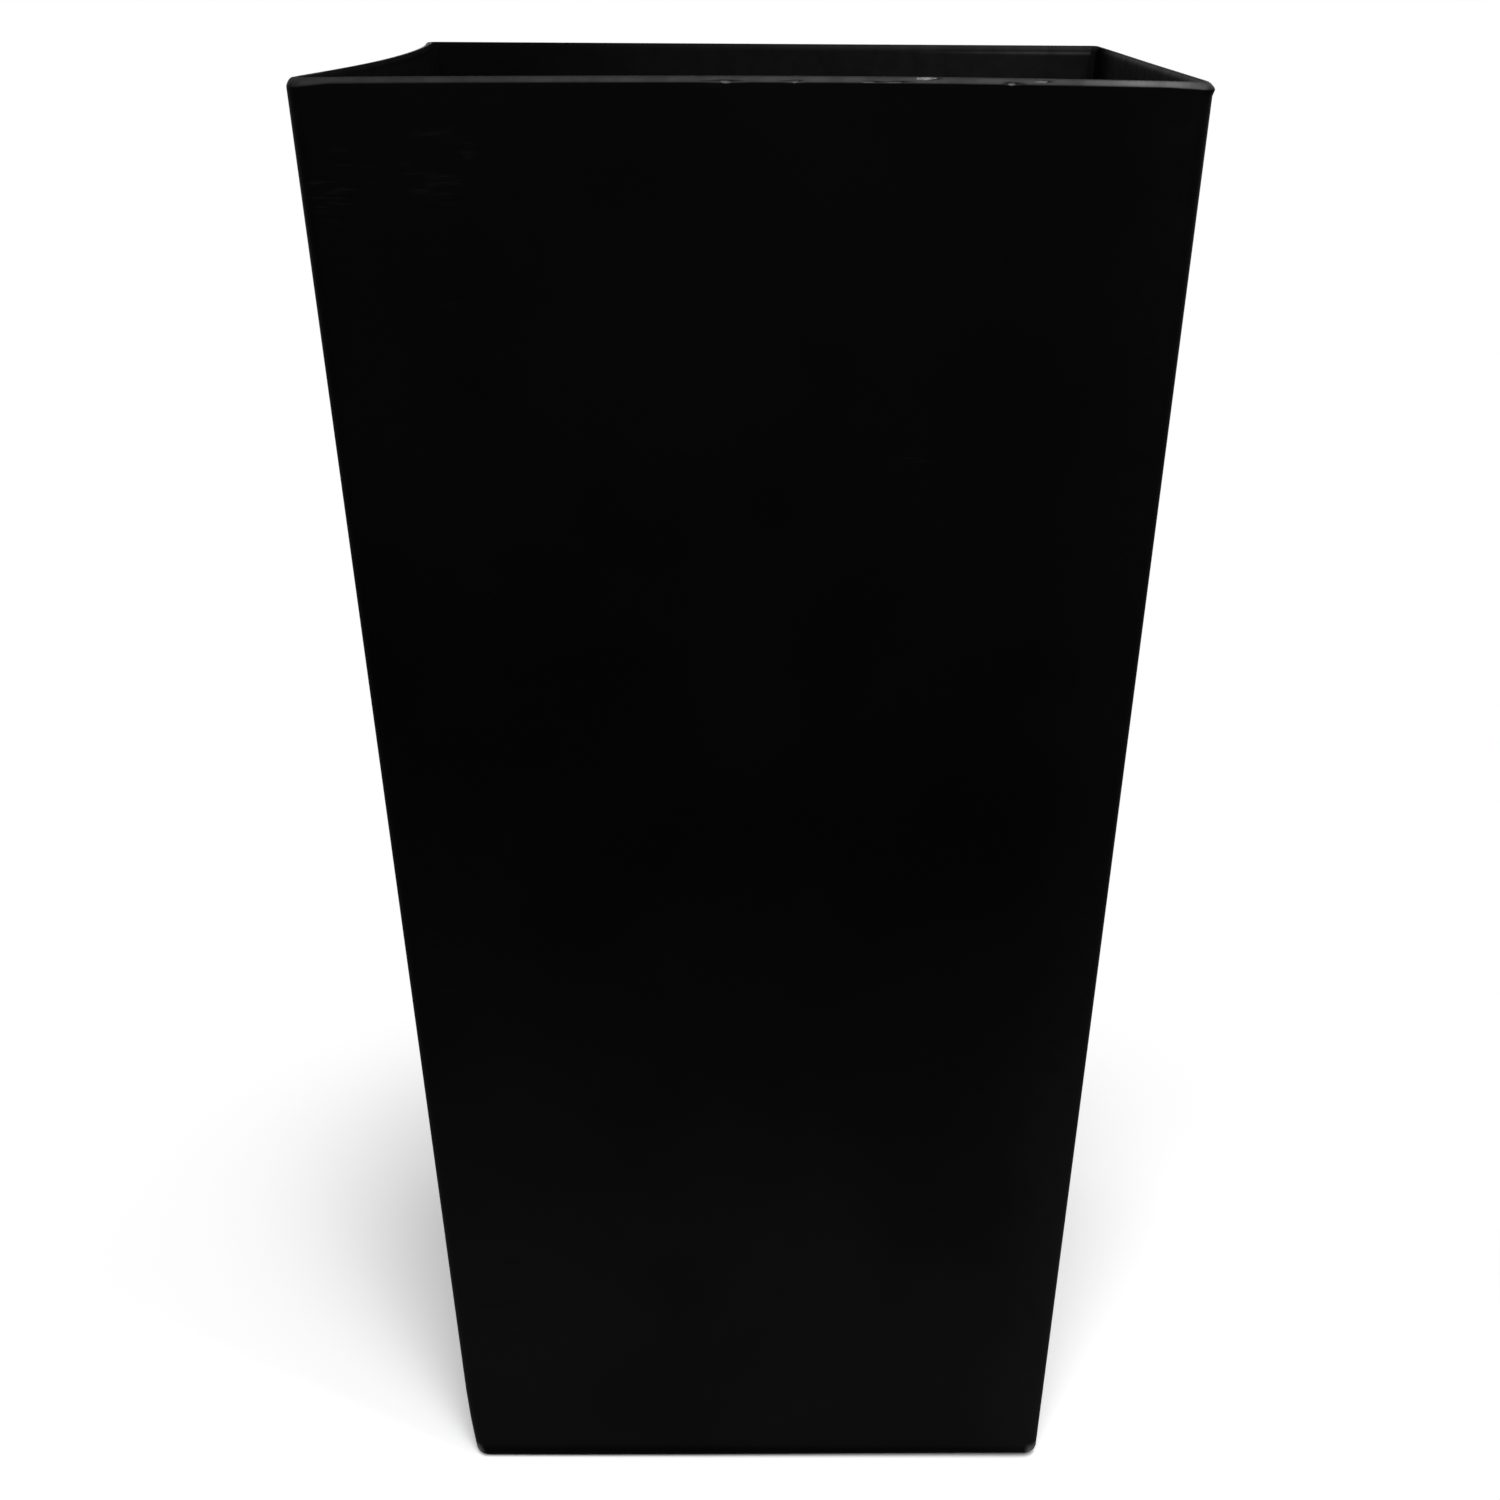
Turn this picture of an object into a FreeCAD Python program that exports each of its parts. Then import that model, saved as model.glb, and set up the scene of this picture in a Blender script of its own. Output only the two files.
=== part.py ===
import FreeCAD, Part
import math
import os

# Tall tapered square floor planter: a moulded shell, a lift-out shelf that carries the soil,
# plugs for the drain holes and pads to stand on.
# Millimetres, +Z up, origin on the ground under the middle of the planter, front towards -Y.

# Shell: the tapered square pot
HEIGHT = 508.0               # ground to rim
TOP_WIDTH = 275.0            # outside, across the rim
BASE_WIDTH = 215.0           # outside, across the foot of the walls
WALL = 4.0                   # measured level, through a wall
CORNER_RADIUS = 5.0          # outside, down each upright corner
INNER_CORNER_RADIUS = 1.5    # inside, down each upright corner
RIM_FLAT = 0.2               # level strip left between the two rounded edges of the rim
BASE_ROUND = 3.0             # on the outer edge of the foot
WALL_BOW = 9.8               # how far the front and left walls are drawn in, halfway along the rim
BOW_POWER = 1.5              # how the bow grows from nothing at the shelf to all of it at the rim

# Floor of the shell: a flat plate above the foot, stiffened by ribs underneath
FLOOR = 3.5                  # thickness
FLOOR_RAISE = 10.0           # from the foot of the walls up to the underside of the floor
SKIRT_DRAFT = 0.5            # how far the inside of the skirt leans in over its height
FLOOR_RIB = 2.5              # thickness of the ribs under the floor
FLOOR_RIB_DEPTH = 4.0
GATE_DIAMETER = 14.0         # shallow round dimple under the middle, where the mould was filled
GATE_DEPTH = 0.6

# Upright fins on the inside of the walls, which carry the shelf
SHELF_HEIGHT = 200.0         # ground to the tops of the fins
FIN = 3.0                    # thickness
FIN_REACH = 12.0             # how far a fin stands out from the wall at its top
FIN_SPACING = 120.0          # between the two fins of one wall

# Shelf: a perforated plate that lifts out
SHELF_PLATE = 3.0            # thickness
SHELF_GAP = 1.0              # between the edge of the plate and the walls
SHELF_CORNER_RADIUS = 5.0
SHELF_EDGE_ROUND = 1.0       # on the upper edge of the plate
SHELF_RIB = 2.0              # thickness of the ribs under the plate
SHELF_RIB_DEPTH = 8.0
SHELF_RIB_PITCH = 52.0
SHELF_RING_GAP = 1.0         # between the rib ring under the plate and the fins
WEEP_HOLE = 6.0              # diameter of the small drain holes
WEEP_LAND = 2.0              # least width of plate left beside a weep hole
SLOT_WIDTH = 24.0            # finger slots
SLOT_LAND = 3.0              # between the end of a slot and the next rib

# Drain holes in the floor, and the plugs that close them from inside
DRAIN_HOLE = 12.0            # diameter
DRAIN_INSET = 48.0           # from the inside of the skirt to the middle of a hole
PLUG_FIT = 0.08              # clearance round the stem of a plug
PLUG_WALL = 1.8              # of the hollow stem
PLUG_LIP = 3.0               # how far the flange reaches past the hole
PLUG_FLANGE = 2.0            # thickness of the flange
PLUG_TAIL = 2.0              # how far the stem hangs below the floor
PLUG_CHAMFER = 0.8           # on the leading edge of the stem
NECK_INSET = 3.0             # from the edge of the knob in to the neck that carries it
NECK_HEIGHT = 6.0
KNOB_INSET = 2.0             # from the edge of the flange in to the edge of the knob
KNOB_HEIGHT = 5.0
KNOB_ROUND = 1.5             # on both edges of the knob

# Foot pads pressed into hollow bosses under the corners of the floor
PAD_DIAMETER = 16.0
PAD_POCKET = 3.0             # how far a pad goes into its boss
PAD_PROUD = 1.0              # how far the pads hold the foot of the walls off the ground
PAD_FIT = 0.05               # clearance round a pad
PAD_CHAMFER = 0.5            # on the ground edge of a pad
BOSS_WALL = 2.0
BOSS_GAP = 3.0               # between a boss and the skirt

# Levels and places that follow from those sizes
FOOT = PAD_PROUD
FLOOR_UNDER = FOOT + FLOOR_RAISE
FLOOR_TOP = FLOOR_UNDER + FLOOR
SHELF_TOP = SHELF_HEIGHT + SHELF_PLATE
SKIRT_HALF = BASE_WIDTH / 2 - WALL
BOSS_DIAMETER = PAD_DIAMETER + 2 * PAD_FIT + 2 * BOSS_WALL
PAD_OFFSET = SKIRT_HALF - BOSS_GAP - BOSS_DIAMETER / 2
DRAIN_OFFSET = SKIRT_HALF - DRAIN_INSET
CORNERS = {"front_left": (-1, -1), "front_right": (1, -1), "back_left": (-1, 1), "back_right": (1, 1)}
CUT_PAST = 5.0               # how far a cutting solid runs past the faces that it opens
BOW_SECTIONS = 6             # level sections that the bowed walls are drawn through
UP = FreeCAD.Vector(0, 0, 1)
MIDDLE = FreeCAD.Vector(0, 0, 0)


def outer_half(level):
    """From the middle of the planter to the outside of a wall at a level."""
    lean = (TOP_WIDTH - BASE_WIDTH) / (HEIGHT - FOOT)
    return (BASE_WIDTH + lean * (level - FOOT)) / 2


def inner_half(level):
    """From the middle of the planter to the inside of a wall at a level."""
    return outer_half(level) - WALL


def fin_half():
    """From the middle of the planter to the upright inner edge of a fin."""
    return inner_half(SHELF_HEIGHT) - FIN_REACH


def wall_bow(level):
    """How far the front and left walls are drawn in at a level, halfway along them."""
    rise = max(level - SHELF_TOP, 0) / (HEIGHT - SHELF_TOP)
    return WALL_BOW * rise ** BOW_POWER


def rounded_square(half, radius, level, bow=0):
    """Closed level wire of a square with rounded corners, whose front and left sides may bow in as arcs."""
    reach = half - radius
    right_back_left_front = [0, 0, bow, bow]
    tilts = [2 * math.atan(side_bow / reach) for side_bow in right_back_left_front]
    turns = [FreeCAD.Rotation(UP, 90 * side) for side in range(4)]
    corners = []
    for side, turn in enumerate(turns):
        first = -tilts[side]
        last = math.pi / 2 + tilts[(side + 1) % 4]
        places = [FreeCAD.Vector(reach + radius * math.cos(angle), reach + radius * math.sin(angle), level)
                  for angle in (first, (first + last) / 2, last)]
        corners.append([turn.multVec(place) for place in places])
    edges = []
    for side, side_bow in enumerate(right_back_left_front):
        begin, end = corners[side - 1][-1], corners[side][0]
        middle = turns[side].multVec(FreeCAD.Vector(half - side_bow, 0, level))
        run = Part.Arc(begin, middle, end) if side_bow else Part.LineSegment(begin, end)
        edges += [run.toShape(), Part.Arc(*corners[side]).toShape()]
    return Part.Wire(edges)


def tapered_block(low_half, high_half, radius, low, high):
    """Solid between two rounded squares, one above the other."""
    sections = [rounded_square(low_half, radius, low), rounded_square(high_half, radius, high)]
    return Part.makeLoft(sections, True, True)


def bowed_block(half_at, radius, low, high):
    """Solid with tapered sides, whose front and left sides bow in from the shelf upwards."""
    straight = tapered_block(half_at(low), half_at(SHELF_TOP), radius, low, SHELF_TOP)
    step = (high - SHELF_TOP) / (BOW_SECTIONS - 1)
    levels = [SHELF_TOP + step * number for number in range(BOW_SECTIONS)]
    sections = [rounded_square(half_at(level), radius, level, wall_bow(level)) for level in levels]
    return straight.fuse(Part.makeLoft(sections, True, False))


def box(x_range, y_range, z_range):
    """Solid box between two values on each axis."""
    corner = FreeCAD.Vector(x_range[0], y_range[0], z_range[0])
    sides = [high - low for low, high in (x_range, y_range, z_range)]
    return Part.makeBox(*sides, corner)


def upright_cylinder(diameter, place, low, high):
    """Solid cylinder with an upright axis over a place on the ground."""
    return Part.makeCylinder(diameter / 2, high - low, FreeCAD.Vector(place[0], place[1], low))


def quarter_turns(shape):
    """The shape and its copies turned by 90, 180 and 270 degrees about the planter's axis."""
    return [shape.rotated(MIDDLE, UP, 90 * quarter) for quarter in range(4)]


def level_edges(shape, level):
    """Edges of the shape that lie wholly at one level."""
    near = 1e-4
    return [edge for edge in shape.Edges
            if abs(edge.BoundBox.ZMin - level) < near and abs(edge.BoundBox.ZMax - level) < near]


def at_corners(offset):
    """A place in each corner of the planter, by the corner's name."""
    return {corner: (x * offset, y * offset) for corner, (x, y) in CORNERS.items()}


def hollow_pot():
    """Walls and floor: the outside, less the cavity and the hollow inside the skirt."""
    outside = bowed_block(outer_half, CORNER_RADIUS, FOOT, HEIGHT)
    foot_round = min(BASE_ROUND, CORNER_RADIUS)
    outside = outside.makeFillet(foot_round, level_edges(outside, FOOT))
    cavity = bowed_block(inner_half, INNER_CORNER_RADIUS, FLOOR_TOP, HEIGHT + CUT_PAST)
    skirt_low = SKIRT_HALF + SKIRT_DRAFT * CUT_PAST / FLOOR_RAISE
    skirt_high = SKIRT_HALF - SKIRT_DRAFT
    hollow = tapered_block(skirt_low, skirt_high, INNER_CORNER_RADIUS, FOOT - CUT_PAST, FLOOR_UNDER)
    return outside.cut([cavity, hollow])


def shelf_fins():
    """Two fins on each wall, with upright inner edges: they grow out of the wall as it leans away."""
    mid_wall_low = inner_half(FLOOR_TOP) + WALL / 2
    mid_wall_high = inner_half(SHELF_HEIGHT) + WALL / 2
    reach = tapered_block(mid_wall_low, mid_wall_high, INNER_CORNER_RADIUS, FLOOR_TOP, SHELF_HEIGHT)
    fins = []
    for side in (-1, 1):
        middle = side * FIN_SPACING / 2
        blank = box((fin_half(), outer_half(SHELF_HEIGHT)), (middle - FIN / 2, middle + FIN / 2),
                    (FLOOR_TOP, SHELF_HEIGHT))
        fins.extend(quarter_turns(blank.common(reach)))
    return fins


def floor_ribs():
    """Ribs under the floor, two pairs each way: through the bosses, and between the drain holes."""
    half_run = SKIRT_HALF + WALL / 2
    rise = (FLOOR_UNDER - FLOOR_RIB_DEPTH, FLOOR_UNDER + FLOOR / 2)
    ribs = []
    for middle in (DRAIN_OFFSET / 2, PAD_OFFSET):
        rib = box((middle - FLOOR_RIB / 2, middle + FLOOR_RIB / 2), (-half_run, half_run), rise)
        ribs.extend(quarter_turns(rib))
    return ribs


def pad_bosses():
    """Round posts under the floor, level with the foot of the walls."""
    return [upright_cylinder(BOSS_DIAMETER, place, FOOT, FLOOR_UNDER + FLOOR / 2)
            for place in at_corners(PAD_OFFSET).values()]


def planter_shell():
    """The moulded pot with its bowed walls, rounded rim, fins, floor ribs, drain holes and pad bosses."""
    pot = hollow_pot()
    rim_round = (WALL - RIM_FLAT) / 2
    pot = pot.makeFillet(rim_round, level_edges(pot, HEIGHT))
    pot = pot.fuse(shelf_fins() + floor_ribs() + pad_bosses())
    pocket = PAD_DIAMETER + 2 * PAD_FIT
    cutters = [upright_cylinder(GATE_DIAMETER, (0, 0), FLOOR_UNDER - CUT_PAST, FLOOR_UNDER + GATE_DEPTH)]
    for place in at_corners(DRAIN_OFFSET).values():
        cutters.append(upright_cylinder(DRAIN_HOLE, place, FOOT, FLOOR_TOP + CUT_PAST))
    for place in at_corners(PAD_OFFSET).values():
        cutters.append(upright_cylinder(pocket, place, FOOT - CUT_PAST, FOOT + PAD_POCKET))
    return pot.cut(cutters).removeSplitter()


def spaced_lines(pitch, limit):
    """Places of evenly spaced lines, half a pitch each side of the middle and on out to the limit."""
    count = int(limit / pitch + 0.5)
    lines = [(number + 0.5) * pitch for number in range(count)]
    return [-line for line in lines] + lines


def shelf_ribs(ring_half):
    """Crossed ribs inside a square ring, all standing down from the plate."""
    rise = (SHELF_HEIGHT - SHELF_RIB_DEPTH, SHELF_HEIGHT + SHELF_PLATE / 2)
    full = (-ring_half, ring_half)
    ribs = quarter_turns(box((ring_half - SHELF_RIB, ring_half), full, rise))
    for line in spaced_lines(SHELF_RIB_PITCH, ring_half - SHELF_RIB):
        width = (line - SHELF_RIB / 2, line + SHELF_RIB / 2)
        ribs.append(box(width, full, rise))
        ribs.append(box(full, width, rise))
    return ribs


def finger_slots():
    """Two slots with round ends, each in the middle of a cell of the rib grid beside the middle cell."""
    drop = (SHELF_HEIGHT - CUT_PAST, SHELF_TOP + CUT_PAST)
    half_length = (SHELF_RIB_PITCH - SHELF_RIB) / 2 - SLOT_LAND
    half_straight = half_length - SLOT_WIDTH / 2
    slots = []
    for middle in (-SHELF_RIB_PITCH, SHELF_RIB_PITCH):
        slot = box((middle - SLOT_WIDTH / 2, middle + SLOT_WIDTH / 2), (-half_straight, half_straight), drop)
        ends = [upright_cylinder(SLOT_WIDTH, (middle, end), *drop) for end in (-half_straight, half_straight)]
        slots.append(slot.fuse(ends))
    return slots


def weep_holes(ring_half):
    """Small drain holes, two each way in a cell of the rib grid, left out of the two slotted cells."""
    drop = (SHELF_HEIGHT - CUT_PAST, SHELF_TOP + CUT_PAST)
    limit = ring_half - SHELF_RIB - WEEP_LAND - WEEP_HOLE / 2
    lines = spaced_lines(SHELF_RIB_PITCH / 2, limit)
    half_cell = SHELF_RIB_PITCH / 2
    holes = []
    for x in lines:
        for y in lines:
            from_slot = abs(abs(x) - SHELF_RIB_PITCH)
            if max(from_slot, abs(y)) > half_cell:
                holes.append(upright_cylinder(WEEP_HOLE, (x, y), *drop))
    return holes


def soil_shelf():
    """Plate that rests on the fins, stiffened by a rib ring that drops between them."""
    half = inner_half(SHELF_HEIGHT) - SHELF_GAP
    plate = tapered_block(half, half, SHELF_CORNER_RADIUS, SHELF_HEIGHT, SHELF_TOP)
    plate = plate.makeFillet(SHELF_EDGE_ROUND, level_edges(plate, SHELF_TOP))
    ring_half = fin_half() - SHELF_RING_GAP
    shelf = plate.fuse(shelf_ribs(ring_half))
    return shelf.cut(finger_slots() + weep_holes(ring_half)).removeSplitter()


def drain_plug(place):
    """Hollow stem in a drain hole, a flange on the floor and a knob on a neck to pull it out by."""
    stem_diameter = DRAIN_HOLE - 2 * PLUG_FIT
    stem_under = FLOOR_UNDER - PLUG_TAIL
    flange_diameter = DRAIN_HOLE + 2 * PLUG_LIP
    flange_top = FLOOR_TOP + PLUG_FLANGE
    knob_diameter = flange_diameter - 2 * KNOB_INSET
    knob_under = flange_top + NECK_HEIGHT
    knob_top = knob_under + KNOB_HEIGHT
    stem = upright_cylinder(stem_diameter, place, stem_under, FLOOR_TOP)
    stem = stem.makeChamfer(PLUG_CHAMFER, level_edges(stem, stem_under))
    hollow = upright_cylinder(stem_diameter - 2 * PLUG_WALL, place, stem_under - CUT_PAST, FLOOR_TOP)
    flange = upright_cylinder(flange_diameter, place, FLOOR_TOP, flange_top)
    neck = upright_cylinder(knob_diameter - 2 * NECK_INSET, place, flange_top, knob_under)
    knob = upright_cylinder(knob_diameter, place, knob_under, knob_top)
    knob = knob.makeFillet(KNOB_ROUND, level_edges(knob, knob_under) + level_edges(knob, knob_top))
    return stem.cut(hollow).fuse([flange, neck, knob]).removeSplitter()


def foot_pad(place):
    """Disc in its boss, standing proud of it."""
    pad = upright_cylinder(PAD_DIAMETER, place, 0, FOOT + PAD_POCKET)
    return pad.makeChamfer(PAD_CHAMFER, level_edges(pad, 0))


def planter_parts():
    """Every piece of the planter, by name."""
    parts = {"planter_shell": planter_shell(), "soil_shelf": soil_shelf()}
    for corner, place in at_corners(DRAIN_OFFSET).items():
        parts["drain_plug_" + corner] = drain_plug(place)
    for corner, place in at_corners(PAD_OFFSET).items():
        parts["foot_pad_" + corner] = foot_pad(place)
    return parts


os.makedirs("parts", exist_ok=True)
for name, shape in planter_parts().items():
    (solid,) = shape.Solids
    solid.exportStep("parts/" + name + ".step")
    print(name, "volume", round(solid.Volume), "cubic millimetres, valid", solid.isValid())
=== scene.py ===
import logging
import math
from dataclasses import dataclass, replace
from enum import Enum
from typing import Iterable, Union

import bmesh
import bpy
from mathutils import Matrix, Vector, noise


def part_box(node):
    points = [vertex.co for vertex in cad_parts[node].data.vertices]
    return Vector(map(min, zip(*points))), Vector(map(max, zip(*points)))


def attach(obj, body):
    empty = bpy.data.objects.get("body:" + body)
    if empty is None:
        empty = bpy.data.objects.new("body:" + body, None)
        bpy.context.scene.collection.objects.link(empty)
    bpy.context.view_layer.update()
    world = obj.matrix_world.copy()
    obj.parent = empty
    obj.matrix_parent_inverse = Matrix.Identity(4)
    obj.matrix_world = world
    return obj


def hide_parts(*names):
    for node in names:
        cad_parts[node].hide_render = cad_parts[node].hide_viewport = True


# Looks of a tall tapered square floor planter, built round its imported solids.
# Metres, +Z up, origin on the ground under the middle of the planter, front towards -Y.

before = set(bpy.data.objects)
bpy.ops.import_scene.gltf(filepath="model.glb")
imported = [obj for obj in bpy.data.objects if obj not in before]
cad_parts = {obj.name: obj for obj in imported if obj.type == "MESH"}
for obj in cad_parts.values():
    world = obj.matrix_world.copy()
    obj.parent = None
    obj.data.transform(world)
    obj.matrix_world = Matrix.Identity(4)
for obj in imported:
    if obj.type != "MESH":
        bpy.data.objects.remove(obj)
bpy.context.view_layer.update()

log = logging.getLogger("planter")
MM = 0.001
# Mesh attributes: rub together with painted highlight, sheen and light; pale nicks together with the painted
# highlight on the foot's corners.
WEAR_AND_SHEEN = "wear_and_sheen"
PALE_AND_GLINT = "pale_and_glint"
QUARTER = math.radians(90)
SHARP_FROM = math.radians(35)
MERGE_WITHIN = 0.001 * MM
ARC_STEPS = 6
POST_SEGMENTS = 50
TURN_STEPS = 64
EDGE_SEGMENTS = 2
GRAIN_DETAIL = 3.0
TINY = 1e-6

Colour = tuple[float, float, float]
Place = tuple[float, float, float]
Point = tuple[float, float]
Span = tuple[float, float]
Piece = bpy.types.Object
Shape = bmesh.types.BMesh
Material = bpy.types.Material
Socket = bpy.types.NodeSocket
Value = Union[float, Colour, Socket]
Inputs = dict[Union[str, int], Value]

WHOLE: Span = (0.0, 1.0)
WHITE = (1.0, 1.0, 1.0, 1.0)


class Corner(Enum):
    """The planter's corners, as the signs of X and Y."""

    FRONT_LEFT = (-1, -1)
    FRONT_RIGHT = (1, -1)
    BACK_LEFT = (-1, 1)
    BACK_RIGHT = (1, 1)

    @property
    def word(self) -> str:
        """The corner's name as the solids spell it."""
        return self.name.lower()

    def at(self, offset: float) -> Vector:
        """The place on the ground that lies an offset out from both middle lines."""
        return Vector((self.value[0] * offset, self.value[1] * offset, 0.0))


class Join(Enum):
    """Ways to combine a piece with a tool shape."""

    ADD = "UNION"
    CUT = "DIFFERENCE"


def clamp(value: float) -> float:
    """The value, kept from 0 to 1."""
    return max(0.0, min(1.0, value))


def ramp(value: float, start: float, end: float) -> float:
    """How far the value has gone from start to end, eased at both ends."""
    share = clamp((value - start) / (end - start))
    return share * share * (3 - 2 * share)


def shares(steps: int) -> list[float]:
    """Even steps from 0 to 1."""
    return [step / steps for step in range(steps + 1)]


def between(start: float, end: float, steps: int) -> list[float]:
    """Even steps from start to end, without the two ends."""
    return [start + (end - start) * step / steps for step in range(1, steps)]


def grey(level: float) -> Colour:
    """A colour without a tint."""
    return (level, level, level)


def as_object(shape: Shape, name: str) -> Piece:
    """Puts a finished shape into the scene.

    Args:
        shape: The shape, which is used up.
        name: The name of the new object and of its mesh.

    Returns:
        The new object, at the origin.
    """
    bmesh.ops.recalc_face_normals(shape, faces=shape.faces)
    mesh = bpy.data.meshes.new(name)
    shape.to_mesh(mesh)
    shape.free()
    piece = bpy.data.objects.new(name, mesh)
    bpy.context.scene.collection.objects.link(piece)
    return piece


def combine(piece: Piece, tool: Piece, join: Join) -> None:
    """Adds a tool shape to a piece or cuts it out, for good.

    Args:
        piece: The piece, whose mesh is replaced.
        tool: The tool shape, which is used up.
        join: Whether the tool is added or cut.
    """
    modifier = piece.modifiers.new(join.name, "BOOLEAN")
    modifier.operation = join.value
    modifier.solver = "MANIFOLD"
    modifier.object = tool
    shaped = piece.evaluated_get(bpy.context.evaluated_depsgraph_get())
    result = bpy.data.meshes.new_from_object(shaped)
    piece.modifiers.clear()
    spent = [piece.data, tool.data]
    piece.data = result
    bpy.data.objects.remove(tool)
    for mesh in spent:
        bpy.data.meshes.remove(mesh)
    result.name = piece.name


def soften(piece: Piece) -> None:
    """Shades a piece smooth, apart from its sharp edges.

    Args:
        piece: The piece.
    """
    shape = bmesh.new()
    shape.from_mesh(piece.data)
    for face in shape.faces:
        face.smooth = True
    for edge in shape.edges:
        edge.smooth = edge.calc_face_angle(math.pi) < SHARP_FROM
    shape.to_mesh(piece.data)
    shape.free()
    even = piece.modifiers.new("even_normals", "WEIGHTED_NORMAL")
    even.keep_sharp = True


def add_block(shape: Shape, low: Vector, high: Vector) -> None:
    """Adds a box between its lowest and its highest corner."""
    place = Matrix.Translation((low + high) / 2) @ Matrix.Diagonal((high - low).to_4d())
    bmesh.ops.create_cube(shape, size=1.0, matrix=place)


def add_post(shape: Shape, diameter: float, place: Vector, levels: Span,
             flare: float = 0.0, stretch: float = 0.0) -> None:
    """Adds an upright cylinder, which may widen upwards or be drawn out into a slot.

    Args:
        shape: The shape that gets the cylinder.
        diameter: Its diameter at the underside.
        place: A point on its axis.
        levels: The levels of its underside and its top.
        flare: How far its side leans out from the underside to the top.
        stretch: How much longer than wide it is, from front to back.
    """
    low, high = levels
    middle = Matrix.Translation((place.x, place.y, (low + high) / 2))
    made = bmesh.ops.create_cone(shape, cap_ends=True, segments=POST_SEGMENTS, radius1=diameter / 2,
                                 radius2=diameter / 2 + flare, depth=high - low, matrix=middle)
    for vertex in made["verts"]:
        vertex.co.y += math.copysign(stretch / 2, vertex.co.y - place.y)


def rib_set(middles: list[float], width: float, run: float, levels: Span, along_y: bool) -> Piece:
    """Makes ribs that run side by side.

    Args:
        middles: Where each rib is, from the middle of the planter.
        width: How wide a rib is.
        run: How far it reaches each way from the middle of the planter.
        levels: The levels of its underside and its top.
        along_y: Whether the ribs run from front to back.

    Returns:
        The ribs.
    """
    shape = bmesh.new()
    low, high = levels
    for middle in middles:
        start, end = middle - width / 2, middle + width / 2
        if along_y:
            add_block(shape, Vector((start, -run, low)), Vector((end, run, high)))
        else:
            add_block(shape, Vector((-run, start, low)), Vector((run, end, high)))
    return as_object(shape, "ribs")


def arc(middle: Point, radius: float, start: float, end: float) -> list[Point]:
    """Points round part of a circle in a profile.

    Args:
        middle: The circle's middle, as distance from the axis and level.
        radius: Its radius.
        start: The angle in degrees of the first point, counted from straight out.
        end: The angle of the last point.

    Returns:
        The points.
    """
    out, level = middle
    turns = [math.radians(start + (end - start) * step / ARC_STEPS) for step in range(ARC_STEPS + 1)]
    return [(out + radius * math.cos(turn), level + radius * math.sin(turn)) for turn in turns]


def turned(profile: list[Point], place: Vector) -> Shape:
    """Makes a round solid by spinning a profile about an upright axis.

    Args:
        profile: Points from the axis to the axis, each as distance from the axis and level.
        place: A point on the axis.

    Returns:
        The solid.
    """
    shape = bmesh.new()
    outline = [shape.verts.new((place.x + out, place.y, level)) for out, level in profile]
    runs = [shape.edges.new(ends) for ends in zip(outline, outline[1:])]
    bmesh.ops.spin(shape, geom=outline + runs, cent=(place.x, place.y, 0.0), axis=(0.0, 0.0, 1.0),
                   angle=math.tau, steps=TURN_STEPS, use_merge=True)
    bmesh.ops.remove_doubles(shape, verts=shape.verts, dist=MERGE_WITHIN)
    return shape


@dataclass(frozen=True)
class Course:
    """One level ring of a wall: a square with rounded corners."""

    level: float
    half: float
    radius: float

    def rounding(self, inset: float, rise: float, around: list[float], least: float = 0.0) -> list["Course"]:
        """Rings along the quarter of a circle that leaves the wall at this ring.

        Args:
            inset: How far in the quarter ends, less than 0 where it goes outwards.
            rise: How far up it ends, less than 0 where it goes down.
            around: How far round each ring is, from 0 to 1.
            least: The least that the radius of a ring's corners may be.

        Returns:
            The rings.
        """
        rings = []
        for share in around:
            turn = QUARTER * share
            shift = inset * (1 - math.cos(turn))
            level = self.level + rise * math.sin(turn)
            rings.append(Course(level, self.half - shift, max(self.radius - shift, least)))
        return rings


@dataclass(frozen=True)
class SquareLoft:
    """Skins a stack of courses, closed by flat faces at the first and the last."""

    side_steps: int
    corner_steps: int

    def point(self, number: int, course: Course) -> Vector:
        """Where one of a ring's points lies.

        Args:
            number: The point's number, counted round from the front end of the right side.
            course: The ring.

        Returns:
            The point's place.
        """
        quarter, step = divmod(number, self.side_steps + self.corner_steps)
        straight = course.half - course.radius
        if step < self.side_steps:
            corner = Vector((course.half, straight * (2 * step / self.side_steps - 1), course.level))
        else:
            turn = QUARTER * (step - self.side_steps) / self.corner_steps
            corner = Vector((straight + course.radius * math.cos(turn),
                             straight + course.radius * math.sin(turn), course.level))
        return Matrix.Rotation(QUARTER * quarter, 4, "Z") @ corner

    def build(self, courses: Iterable[Course]) -> Shape:
        """Extrudes a ring of edges from course to course.

        Args:
            courses: The rings in order, with at least two of them.

        Returns:
            The closed shape.
        """
        first, *others = courses
        shape = bmesh.new()
        count = 4 * (self.side_steps + self.corner_steps)
        ring = bmesh.ops.create_circle(shape, cap_ends=True, segments=count, radius=first.half)["verts"]
        edges = list(shape.edges)
        for number, vertex in enumerate(ring):
            vertex.co = self.point(number, first)
        for course in others:
            made = bmesh.ops.extrude_edge_only(shape, edges=edges)["geom"]
            fresh = {item for item in made if isinstance(item, bmesh.types.BMVert)}
            ring = [next(edge.other_vert(vertex) for edge in vertex.link_edges
                         if edge.other_vert(vertex) in fresh) for vertex in ring]
            edges = [item for item in made if isinstance(item, bmesh.types.BMEdge)
                     and item.verts[0] in fresh and item.verts[1] in fresh]
            for number, vertex in enumerate(ring):
                vertex.co = self.point(number, course)
        bmesh.ops.edgeloop_fill(shape, edges=edges)
        return shape


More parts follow.
